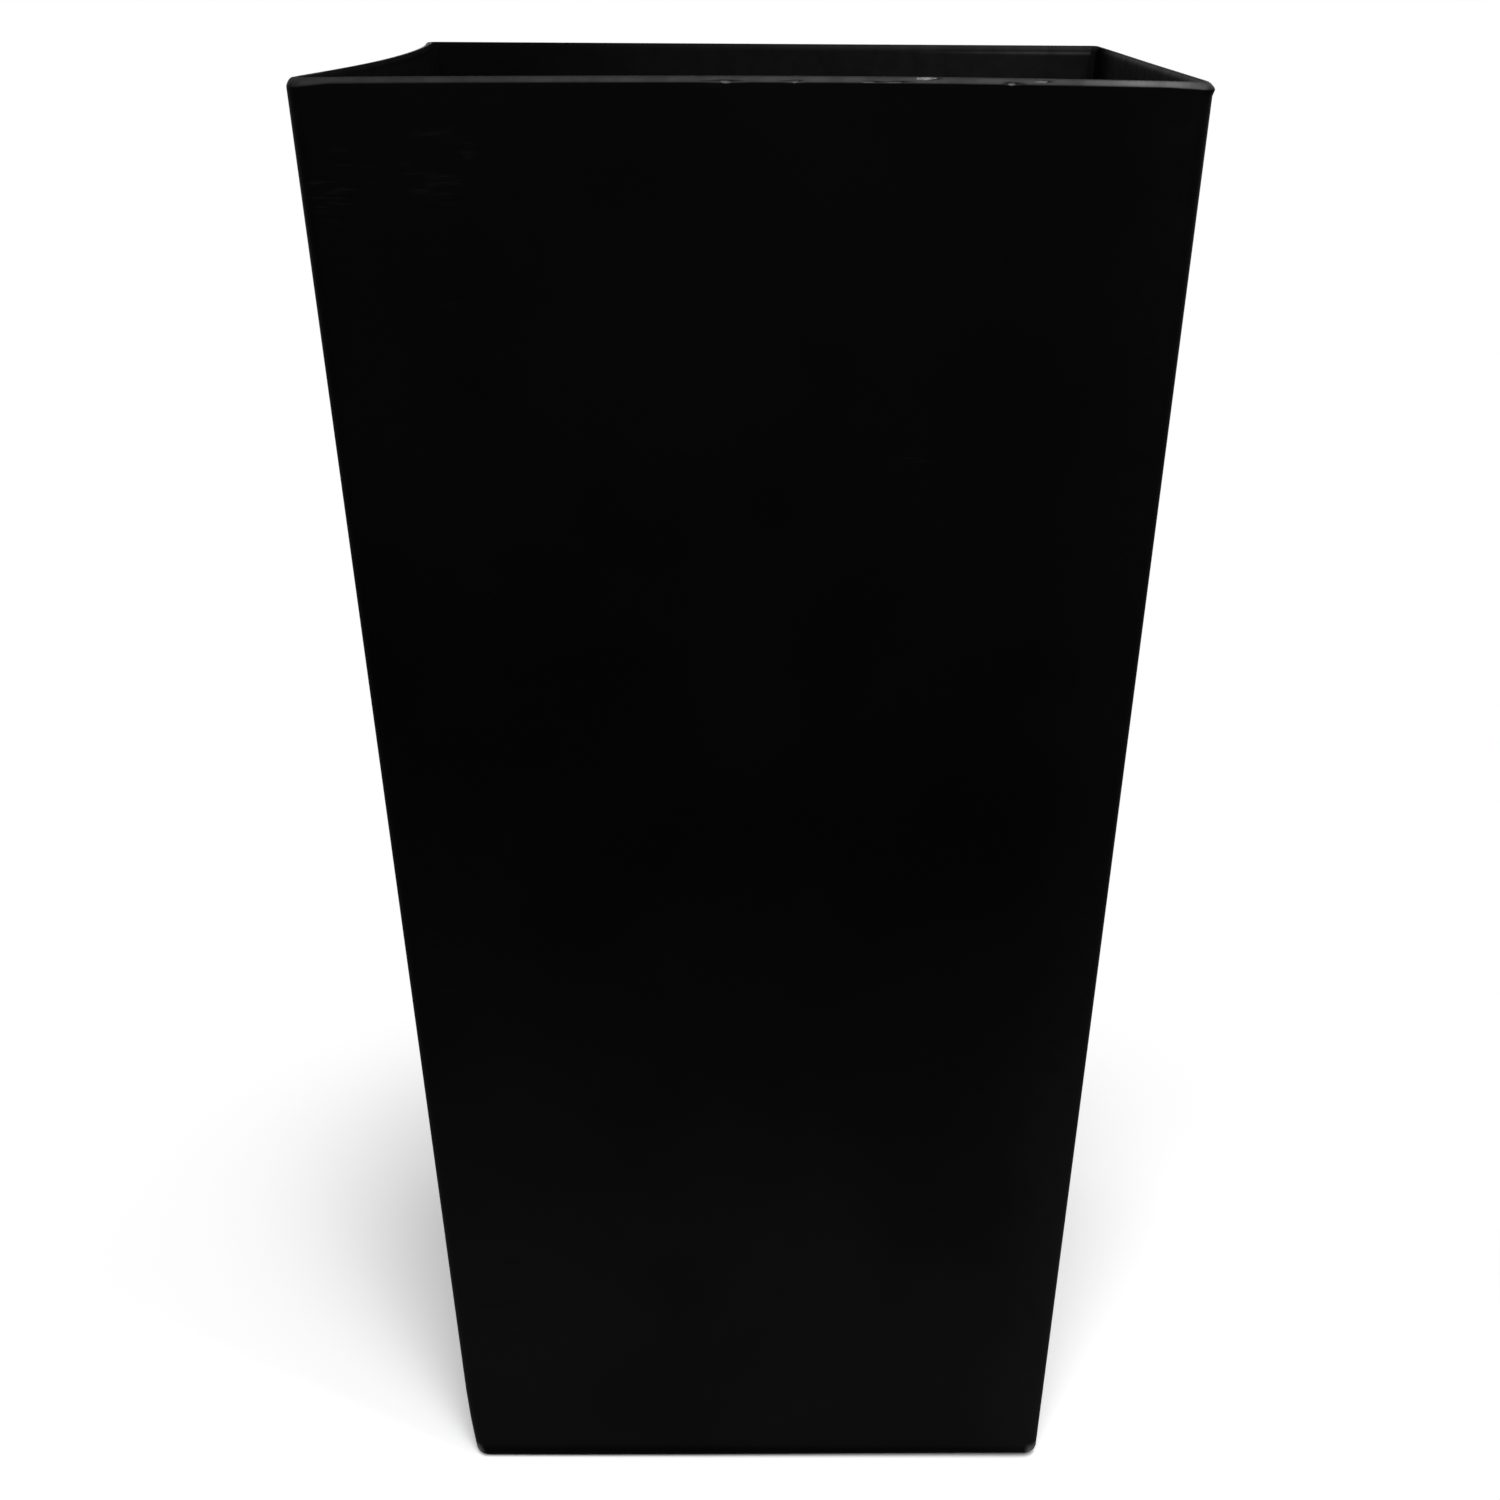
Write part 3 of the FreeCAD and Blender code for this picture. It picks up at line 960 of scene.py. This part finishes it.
@dataclass
class PlanterShell:
    """The moulded pot: leaning walls with a rounded rim, a ribbed floor, fins for the shelf and bosses."""

    node: str = "planter_shell"
    body: str = "shell"
    top_width: float = 275 * MM
    base_width: float = 215 * MM
    wall: float = 4 * MM
    corner_radius: float = 5 * MM
    inner_corner_radius: float = 1.5 * MM
    rim_flat: float = 0.2 * MM
    base_round: float = 3 * MM
    foot_chamfer: float = 0.4 * MM
    floor: float = 3.5 * MM
    floor_raise: float = 10 * MM
    floor_round: float = 1.2 * MM
    skirt_draft: float = 0.5 * MM
    floor_rib: float = 2.5 * MM
    floor_rib_depth: float = 4 * MM
    gate_diameter: float = 14 * MM
    gate_depth: float = 0.6 * MM
    fin: float = 3 * MM
    fin_reach: float = 12 * MM
    fin_spacing: float = 120 * MM
    edge_break: float = 0.5 * MM
    drain_hole: float = 12 * MM
    drain_inset: float = 48 * MM
    pad_diameter: float = 16 * MM
    pad_fit: float = 0.05 * MM
    pad_pocket: float = 3 * MM
    boss_wall: float = 2 * MM
    boss_gap: float = 3 * MM
    past: float = 5 * MM
    # the painted highlight line inside the rim, and the rings that carry it
    sheen_line: float = 2.9 * MM
    sheen_line_drops: tuple[float, ...] = (-0.5 * MM, 0.0, 0.5 * MM, 1.2 * MM)
    wall_steps: int = 40
    edge_steps: int = 8
    floor_edge_steps: int = 4
    corner_turn: float = 0.6
    inside_facing: float = -0.2
    rim_facing: Span = (-0.02, 0.06)
    loft: SquareLoft = SquareLoft(side_steps=32, corner_steps=8)
    settling: Settling = Settling()
    rim_wear_and_highlight: RimWearAndHighlight = RimWearAndHighlight()
    wall_sheen: WallSheen = WallSheen()
    inside_wear_and_sheen: InsideWearAndSheen = InsideWearAndSheen()
    foot_glint: FootGlint = FootGlint()

    def __post_init__(self) -> None:
        """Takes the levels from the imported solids, and works out the places that follow."""
        low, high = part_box(self.node)
        self.foot = low.z
        self.rim = high.z
        self.shelf_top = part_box("soil_shelf")[1].z
        self.shelf_level = self.shelf_top - SoilShelf.plate
        self.rim_round = (self.wall - self.rim_flat) / 2
        self.floor_under = self.foot + self.floor_raise
        self.floor_top = self.floor_under + self.floor
        self.skirt_half = self.base_width / 2 - self.wall
        self.boss_diameter = self.pad_diameter + 2 * self.pad_fit + 2 * self.boss_wall
        self.pad_offset = self.skirt_half - self.boss_gap - self.boss_diameter / 2
        self.drain_offset = self.skirt_half - self.drain_inset

    def outer_half(self, level: float) -> float:
        """From the middle of the planter to the outside of a wall at a level."""
        lean = (self.top_width - self.base_width) / (self.rim - self.foot)
        return (self.base_width + lean * (level - self.foot)) / 2

    def inner_half(self, level: float) -> float:
        """From the middle of the planter to the inside of a wall at a level."""
        return self.outer_half(level) - self.wall

    def outside(self, level: float) -> Course:
        """The ring round the outside at a level."""
        return Course(level, self.outer_half(level), self.corner_radius)

    def inside(self, level: float) -> Course:
        """The ring round the inside at a level."""
        return Course(level, self.inner_half(level), self.inner_corner_radius)

    def corner_share(self, place: Vector, start: float = 0.0) -> float:
        """How far round a corner of the walls a point is, counted from a start in the corner's rounding."""
        into = min(abs(place.x), abs(place.y)) - (self.outer_half(place.z) - self.corner_radius)
        return ramp(into / self.corner_radius, start, start + self.corner_turn)

    def courses(self) -> list[Course]:
        """The rings of the walls in order.

        Returns:
            Rings from under the floor down the skirt, round the foot, up the outside, over the rim
            and down the inside to the floor.
        """
        low = self.foot + self.base_round
        high = self.rim - self.rim_round
        bottom = self.floor_top + self.floor_round
        skirt = self.inner_corner_radius
        out = shares(self.edge_steps)
        back = [1 - share for share in out]
        rings = [Course(self.floor_under, self.skirt_half - self.skirt_draft, skirt),
                 Course(self.foot + self.foot_chamfer, self.skirt_half, skirt),
                 Course(self.foot, self.skirt_half + self.foot_chamfer, skirt + self.foot_chamfer)]
        rings += self.outside(low).rounding(self.base_round, -self.base_round, back)
        rings += [self.outside(low + rise) for rise in (self.base_round, 2 * self.base_round)]
        rings += [self.outside(level) for level in between(low, high, self.wall_steps)]
        rings.append(self.outside(high - self.rim_round))
        rings += self.outside(high).rounding(self.rim_round, self.rim_round, out)
        rings += self.inside(high).rounding(-self.rim_round, self.rim_round, back)
        # rings that carry the painted highlight line on the inside
        rings += [self.inside(self.rim - self.sheen_line - drop) for drop in self.sheen_line_drops]
        rings += [self.inside(level) for level in between(high, bottom, self.wall_steps)]
        rings += self.inside(bottom).rounding(self.floor_round, -self.floor_round,
                                              shares(self.floor_edge_steps), self.edge_break)
        return rings

    def fins(self) -> Piece:
        """Makes two upright fins on each wall, which grow out of it as it leans away.

        The pair on the right wall is made first, and is then copied round to the others.

        Returns:
            The fins.
        """
        shape = bmesh.new()
        inner = self.inner_half(self.shelf_level) - self.fin_reach
        root = self.floor_top - self.floor / 2
        outer, outer_top = (self.inner_half(level) + self.wall / 2 for level in (root, self.shelf_level))
        for side in (-1, 1):
            near, far = (side * self.fin_spacing / 2 + half for half in (-self.fin / 2, self.fin / 2))
            add_block(shape, Vector((inner, near, root)), Vector((outer, far, self.shelf_level)))
        for vertex in shape.verts:
            if vertex.co.x > inner + self.wall and vertex.co.z > root + self.wall:
                vertex.co.x = outer_top
        proud = [edge for edge in shape.edges if max(end.co.x for end in edge.verts) < inner + self.edge_break
                 and max(end.co.z for end in edge.verts) > root + self.wall]
        bmesh.ops.bevel(shape, geom=proud, offset=self.edge_break, affect="EDGES", segments=EDGE_SEGMENTS,
                        profile=0.5, material=-1, clamp_overlap=True)
        pair = [*shape.verts, *shape.edges, *shape.faces]
        bmesh.ops.spin(shape, geom=pair, cent=(0.0, 0.0, 0.0), axis=(0.0, 0.0, 1.0),
                       angle=3 * QUARTER, steps=3, use_duplicate=True)
        return as_object(shape, "fins")

    def ribs(self, along_y: bool) -> Piece:
        """Makes the ribs under the floor that run one way.

        Args:
            along_y: Whether they run from front to back.

        Returns:
            The ribs.
        """
        middles = [side * middle for middle in (self.drain_offset / 2, self.pad_offset) for side in (-1, 1)]
        levels = (self.floor_under - self.floor_rib_depth, self.floor_under + self.floor / 2)
        return rib_set(middles, self.floor_rib, self.skirt_half + self.wall / 2, levels, along_y)

    def bosses(self) -> Piece:
        """Makes the posts under the corners of the floor, which hold the pads.

        Returns:
            The posts.
        """
        shape = bmesh.new()
        levels = (self.foot, self.floor_under + self.floor / 2)
        for corner in Corner:
            add_post(shape, self.boss_diameter, corner.at(self.pad_offset), levels)
        return as_object(shape, "bosses")

    def holes(self) -> Piece:
        """Makes cutters for the drain holes, the pad pockets and the dimple where the mould was filled.

        Returns:
            The cutters.
        """
        shape = bmesh.new()
        gate = (self.floor_under - self.past, self.floor_under + self.gate_depth)
        drain = (self.foot, self.floor_top + self.past)
        pocket = (self.foot - self.past, self.foot + self.pad_pocket)
        add_post(shape, self.gate_diameter, Vector((0, 0, 0)), gate)
        for corner in Corner:
            add_post(shape, self.drain_hole, corner.at(self.drain_offset), drain)
            add_post(shape, self.pad_diameter + 2 * self.pad_fit, corner.at(self.pad_offset), pocket)
        return as_object(shape, "holes")

    def nick_place(self, nick: Nick) -> Vector:
        """The point of the front rim's rounding that a nick is centred on.

        Args:
            nick: The nick.

        Returns:
            Its place on the moulded rim.
        """
        turn = math.radians(nick.turn)
        high = self.rim - self.rim_round
        half = self.outer_half(high) - self.rim_round * (1 - math.cos(turn))
        place = Vector((nick.along, -half, high + self.rim_round * math.sin(turn)))
        return self.settling.settled(self, place)

    def nicks(self) -> Piece:
        """Makes the lumps that are cut out of the front rim.

        Returns:
            The lumps.
        """
        shape = bmesh.new()
        for nick in RIM_NICKS:
            nick.add_lump(shape, self.nick_place(nick))
        return as_object(shape, "nicks")

    def mark(self, piece: Piece) -> None:
        """Notes on the mesh where it is rubbed, where it gets painted highlight, sheen and light, where it is
        pale, and which faces have the inside's finish.

        Args:
            piece: The shell.
        """
        mesh = piece.data
        dents = [(self.nick_place(nick), nick) for nick in RIM_NICKS]
        wear, pale_and_glint = [], []
        for face in mesh.polygons:
            middle = face.center
            outward = Vector((middle.x, middle.y, 0)).normalized()
            inside = face.normal.dot(outward) < self.inside_facing and middle.z > self.floor_top
            face.material_index = int(inside)
            rounded = ramp(face.normal.z, *self.rim_facing)
            pale = [nick.paleness for dent, nick in dents if nick.holds(middle - dent, face.area)]
            for index in face.vertices:
                place, normal = mesh.vertices[index].co, mesh.vertices[index].normal
                # rub and painted light alike: painted sheen and light inside, painted highlight on the rim
                # and the outside's corners
                if inside:
                    wear.append(self.inside_wear_and_sheen.at(self, place, normal))
                else:
                    wear.append(max(rounded * self.rim_wear_and_highlight.at(self, place, normal),
                                    self.wall_sheen.at(self, place, normal)))
                # pale nicks, and elsewhere the painted highlight on the foot's corners
                pale_and_glint.append(max(pale, default=self.foot_glint.at(self, place)))
        for name, values in ((WEAR_AND_SHEEN, wear), (PALE_AND_GLINT, pale_and_glint)):
            mesh.attributes.new(name, "FLOAT", "CORNER").data.foreach_set("value", values)

    def build(self) -> Piece:
        """Makes the shell's mesh.

        Returns:
            The shell.
        """
        shape = self.loft.build(self.courses())
        for vertex in shape.verts:
            vertex.co = self.settling.settled(self, vertex.co)
        piece = as_object(shape, "planter_shell_skin")
        for tool in (self.fins(), self.ribs(along_y=True), self.ribs(along_y=False), self.bosses()):
            combine(piece, tool, Join.ADD)
        for tool in (self.holes(), self.nicks()):
            combine(piece, tool, Join.CUT)
        piece.data.materials.clear()
        soften(piece)
        self.mark(piece)
        return piece

    def dress(self, piece: Piece) -> None:
        """Gives the shell its finishes and sets it on its body.

        Args:
            piece: The shell.
        """
        piece.data.materials.append(SHELL_PLASTIC.material())
        piece.data.materials.append(SHELL_INSIDE.material())
        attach(piece, self.body)
        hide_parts(self.node)


@dataclass
class SoilShelf:
    """The plate that carries the soil: ribs underneath, weep holes and two finger slots with eased edges."""

    node: str = "soil_shelf"
    body: str = "shelf"
    plate: float = 3 * MM
    corner_radius: float = 5 * MM
    edge_round: float = 1 * MM
    edge_break: float = 0.4 * MM
    rib: float = 2 * MM
    rib_pitch: float = 52 * MM
    rib_ring_half: float = 102.28 * MM
    weep_hole: float = 6 * MM
    slot_width: float = 24 * MM
    slot_land: float = 3 * MM
    past: float = 1 * MM
    loft: SquareLoft = SquareLoft(side_steps=12, corner_steps=8)

    def __post_init__(self) -> None:
        """Takes the plate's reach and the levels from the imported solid."""
        low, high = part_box(self.node)
        self.half = high.x
        self.rib_under = low.z
        self.top = high.z
        self.under = self.top - self.plate

    def courses(self) -> list[Course]:
        """The rings round the edge of the plate in order.

        Returns:
            Rings from its underside to its top.
        """
        rings = [Course(self.under, self.half - self.edge_break, self.corner_radius - self.edge_break),
                 Course(self.under + self.edge_break, self.half, self.corner_radius)]
        middle = (self.half - self.edge_round, self.top - self.edge_round)
        for out, level in arc(middle, self.edge_round, 0, 90):
            rings.append(Course(level, out, self.corner_radius - (self.half - out)))
        return rings

    @staticmethod
    def lines(pitch: float, limit: float) -> list[float]:
        """Evenly spaced places, half a pitch each side of the middle and on out to a limit."""
        count = int(limit / pitch + 0.5)
        return [side * (number + 0.5) * pitch for side in (-1, 1) for number in range(count)]

    def ribs(self, along_y: bool) -> Piece:
        """Makes the ribs under the plate that run one way, with those of the ring.

        Args:
            along_y: Whether they run from front to back.

        Returns:
            The ribs.
        """
        edge = self.rib_ring_half - self.rib / 2
        middles = [-edge, *self.lines(self.rib_pitch, edge), edge]
        levels = (self.rib_under, self.under + self.plate / 2)
        return rib_set(middles, self.rib, self.rib_ring_half, levels, along_y)

    def holes(self, levels: Span, flare: float) -> Piece:
        """Makes cutters for the weep holes and the finger slots.

        Args:
            levels: The levels that they start from and end at.
            flare: How far they widen on the way up.

        Returns:
            The cutters.
        """
        shape = bmesh.new()
        stretch = self.rib_pitch - self.rib - 2 * self.slot_land - self.slot_width
        for middle in (-self.rib_pitch, self.rib_pitch):
            add_post(shape, self.slot_width, Vector((middle, 0, 0)), levels, flare, stretch)
        places = self.lines(self.rib_pitch / 2, self.rib_ring_half - self.rib - self.weep_hole)
        for x in places:
            for y in places:
                if max(abs(abs(x) - self.rib_pitch), abs(y)) > self.rib_pitch / 2:
                    add_post(shape, self.weep_hole, Vector((x, y, 0)), levels, flare)
        return as_object(shape, "shelf_holes")

    def build(self) -> Piece:
        """Makes the shelf's mesh.

        Returns:
            The shelf.
        """
        piece = as_object(self.loft.build(self.courses()), "soil_shelf_plate")
        for along_y in (True, False):
            combine(piece, self.ribs(along_y), Join.ADD)
        over = self.top + self.past
        combine(piece, self.holes((self.under - self.past, over), 0.0), Join.CUT)
        combine(piece, self.holes((self.top - self.edge_break, over), self.edge_break + self.past), Join.CUT)
        piece.data.materials.clear()
        soften(piece)
        return piece

    def dress(self, piece: Piece) -> None:
        """Gives the shelf its finish and sets it on its body.

        Args:
            piece: The shelf.
        """
        piece.data.materials.append(SHELF_PLASTIC.material())
        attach(piece, self.body)
        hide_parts(self.node)


@dataclass
class RoundPiece:
    """A round rubber piece at a corner, which takes its place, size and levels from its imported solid."""

    corner: Corner
    kind: str

    def __post_init__(self) -> None:
        """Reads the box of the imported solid."""
        self.node = f"{self.kind}_{self.corner.word}"
        low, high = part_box(self.node)
        self.place = (low + high) / 2
        self.radius = (high.x - low.x) / 2
        self.under = low.z
        self.top = high.z

    def profile(self) -> list[Point]:
        """Half of the piece's outline, which each kind has of its own."""
        raise NotImplementedError

    def build(self) -> Piece:
        """Makes the piece's mesh.

        Returns:
            The piece.
        """
        piece = as_object(turned(self.profile(), self.place), self.node + "_rubber")
        soften(piece)
        return piece


@dataclass
class DrainPlug(RoundPiece):
    """A rubber plug: a hollow stem in the drain hole, a flange on the floor and a knob on a waisted neck."""

    kind: str = "drain_plug"
    wall: float = 1.8 * MM
    stem_diameter: float = 11.84 * MM
    stem_chamfer: float = 0.8 * MM
    flange: float = 2 * MM
    flange_round: float = 0.8 * MM
    neck_diameter: float = 8 * MM
    neck_round: float = 1 * MM
    neck_height: float = 6 * MM
    knob_diameter: float = 14 * MM
    knob_height: float = 5 * MM
    knob_round: float = 1.5 * MM

    @property
    def body(self) -> str:
        """The body that this plug alone rides."""
        return "plug_" + self.corner.word

    def profile(self) -> list[Point]:
        """Half of the plug's outline.

        Returns:
            Points from the middle of the knob down to the roof of the hollow stem.
        """
        knob_out = self.knob_diameter / 2 - self.knob_round
        knob_under = self.top - self.knob_height
        neck_out = self.neck_diameter / 2 + self.neck_round
        flange_top = knob_under - self.neck_height
        flange_under = flange_top - self.flange
        rim_out = self.radius - self.flange_round
        stem = self.stem_diameter / 2
        bore = stem - self.wall
        points = [(0.0, self.top)]
        points += arc((knob_out, self.top - self.knob_round), self.knob_round, 90, 0)
        points += arc((knob_out, knob_under + self.knob_round), self.knob_round, 0, -90)
        points += arc((neck_out, knob_under - self.neck_round), self.neck_round, 90, 180)
        points += arc((neck_out, flange_top + self.neck_round), self.neck_round, 180, 270)
        points += arc((rim_out, flange_top - self.flange_round), self.flange_round, 90, 0)
        points += [(self.radius, flange_under), (stem, flange_under),
                   (stem, self.under + self.stem_chamfer), (stem - self.stem_chamfer, self.under),
                   (bore, self.under), (bore, flange_under), (0.0, flange_under)]
        return points

    def dress(self, piece: Piece, rubber: Material) -> None:
        """Gives the plug its rubber and sets it on its body.

        Args:
            piece: The plug.
            rubber: Its finish.
        """
        piece.data.materials.append(rubber)
        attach(piece, self.body)
        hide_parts(self.node)


@dataclass
class FootPad(RoundPiece):
    """A rubber disc pressed into a boss under a corner, with eased edges."""

    kind: str = "foot_pad"
    body: str = "shell"
    ground_round: float = 0.5 * MM
    top_chamfer: float = 0.3 * MM

    def profile(self) -> list[Point]:
        """Half of the pad's outline.

        Returns:
            Points from the middle of its top to the middle of its underside.
        """
        ground_edge = (self.radius - self.ground_round, self.under + self.ground_round)
        return [(0.0, self.top), (self.radius - self.top_chamfer, self.top),
                (self.radius, self.top - self.top_chamfer),
                *arc(ground_edge, self.ground_round, 0, -90), (0.0, self.under)]

    def dress(self, piece: Piece, rubber: Material) -> None:
        """Gives the pad its rubber and sets it on its body.

        Args:
            piece: The pad.
            rubber: Its finish.
        """
        piece.data.materials.append(rubber)
        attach(piece, self.body)
        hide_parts(self.node)


@dataclass(frozen=True)
class PhotoCamera:
    """The camera where the photograph was taken from, as found from the planter's corners in it."""

    place: Place = (0.01418, -0.81647, 0.54294)
    yaw: float = math.radians(0.300)
    pitch: float = math.radians(19.104)
    roll: float = math.radians(0.357)
    focal_pixels: float = 2220.6
    axis_pixel: Point = (806.1, 723.0)
    frame_pixels: float = 1500.0
    sensor: float = 36.0

    def build(self) -> bpy.types.Object:
        """Makes the camera and points it.

        Returns:
            The camera.
        """
        data = bpy.data.cameras.new("photo_camera")
        data.sensor_width = self.sensor
        data.lens = self.focal_pixels / self.frame_pixels * self.sensor
        data.shift_x = 0.5 - self.axis_pixel[0] / self.frame_pixels
        data.shift_y = self.axis_pixel[1] / self.frame_pixels - 0.5
        camera = bpy.data.objects.new("photo_camera", data)
        heading = Matrix.Translation(self.place) @ Matrix.Rotation(-self.yaw, 4, "Z")
        tilt = Matrix.Rotation(QUARTER - self.pitch, 4, "X") @ Matrix.Rotation(self.roll, 4, "Z")
        camera.matrix_world = heading @ tilt
        bpy.context.scene.collection.objects.link(camera)
        bpy.context.scene.camera = camera
        return camera


@dataclass(frozen=True)
class Softbox:
    """A square lamp that shines at a point."""

    name: str
    place: Place
    aim: Place
    size: float
    brightness: float

    def build(self) -> bpy.types.Object:
        """Makes the lamp, with its power worked out from the brightness of its face.

        Returns:
            The lamp.
        """
        data = bpy.data.lights.new(self.name, "AREA")
        data.shape = "SQUARE"
        data.size = self.size
        data.energy = self.brightness * math.pi * self.size ** 2
        lamp = bpy.data.objects.new(self.name, data)
        lamp.location = self.place
        ahead = Vector(self.aim) - Vector(self.place)
        lamp.rotation_euler = ahead.to_track_quat("-Z", "Y").to_euler()
        lamp.visible_camera = False
        bpy.context.scene.collection.objects.link(lamp)
        return lamp


@dataclass(frozen=True)
class Studio:
    """A pale floor that fades into a white backdrop, a soft dome of light and three softboxes."""

    floor_colour: Colour = grey(0.36)
    seen_floor_colour: Colour = grey(0.98)
    floor_radius: float = 3.0
    floor_segments: int = 96
    seen_fade: Span = (0.14, 0.34)
    mirrored_fade: Span = (1.8, 2.6)
    dome: float = 0.42
    softboxes: tuple[Softbox, ...] = (
        Softbox("front_softbox", place=(0.1, -1.5, 1.9), aim=(0.0, -0.1, 0.1), size=1.2, brightness=11.5),
        Softbox("top_softbox", place=(0.28, -0.42, 1.4), aim=(0.1, -0.1, 0.4), size=0.14, brightness=60.0),
        Softbox("side_softbox", place=(0.5, -1.7, 0.85), aim=(0.1, 0.1, 0.5), size=0.5, brightness=3.0),
    )

    @staticmethod
    def mirrored(bench: NodeBench) -> Socket:
        """Adds a share that is 1 for what shows in a shiny or clear surface."""
        path = bench.add("ShaderNodeLightPath").outputs
        return bench.most(path["Is Glossy Ray"], path["Is Transmission Ray"])

    def build_dome(self) -> None:
        """Makes the world: white to look at, and a soft even light on everything."""
        world = bpy.data.worlds.new("studio")
        world.use_nodes = True
        bench = NodeBench(world.node_tree)
        light = bench.tree.nodes["Background"]
        bench.feed(light.inputs["Color"], WHITE)
        bench.feed(light.inputs["Strength"], self.dome)
        white = bench.add("ShaderNodeBackground", {"Color": WHITE})
        straight = bench.add("ShaderNodeLightPath").outputs["Is Camera Ray"]
        seen = bench.most(straight, self.mirrored(bench))
        choose = bench.add("ShaderNodeMixShader", {0: seen, 1: light.outputs[0], 2: white.outputs[0]})
        bench.feed(bench.tree.nodes["World Output"].inputs["Surface"], choose.outputs[0])
        bpy.context.scene.world = world

    def build_floor(self) -> Piece:
        """Makes the floor, which keeps the planter's shadow and turns white away from it.

        Returns:
            The floor.
        """
        shape = bmesh.new()
        bmesh.ops.create_circle(shape, cap_ends=True, segments=self.floor_segments, radius=self.floor_radius)
        floor = as_object(shape, "floor")
        material, bench = node_material("pale_floor")
        straight = bench.add("ShaderNodeLightPath").outputs["Is Camera Ray"]
        colour = bench.blend(straight, self.floor_colour, self.seen_floor_colour)
        paper = bench.add("ShaderNodeBsdfDiffuse", {"Color": colour})
        white = bench.add("ShaderNodeEmission", {"Strength": 1.0})
        away = bench.add("ShaderNodeVectorMath", {0: bench.place}, operation="LENGTH").outputs["Value"]
        seen = bench.times(bench.remap(away, self.seen_fade), straight)
        mirrored = bench.times(bench.remap(away, self.mirrored_fade), self.mirrored(bench))
        share = bench.most(seen, mirrored)
        choose = bench.add("ShaderNodeMixShader", {0: share, 1: paper.outputs[0], 2: white.outputs[0]})
        bench.feed(bench.tree.nodes["Material Output"].inputs["Surface"], choose.outputs[0])
        floor.data.materials.append(material)
        return floor

    def build(self) -> None:
        """Makes the whole studio."""
        self.build_dome()
        self.build_floor()
        for softbox in self.softboxes:
            softbox.build()


def report(piece: Piece) -> None:
    """Logs a finished piece."""
    log.info("%s: %d faces", piece.name, len(piece.data.polygons))


def main() -> None:
    """Builds the planter piece by piece, then the studio and the camera."""
    logging.basicConfig(level=logging.INFO, format="%(message)s")
    bpy.context.scene.view_settings.view_transform = "Standard"
    for part in (PlanterShell(), SoilShelf()):
        piece = part.build()
        part.dress(piece)
        report(piece)
    plug_rubber = PLUG_RUBBER.material()
    pad_rubber = PAD_RUBBER.material()
    for corner in Corner:
        for part, rubber in ((DrainPlug(corner), plug_rubber), (FootPad(corner), pad_rubber)):
            piece = part.build()
            part.dress(piece, rubber)
            report(piece)
    Studio().build()
    PhotoCamera().build()


if __name__ == "__main__":
    main()
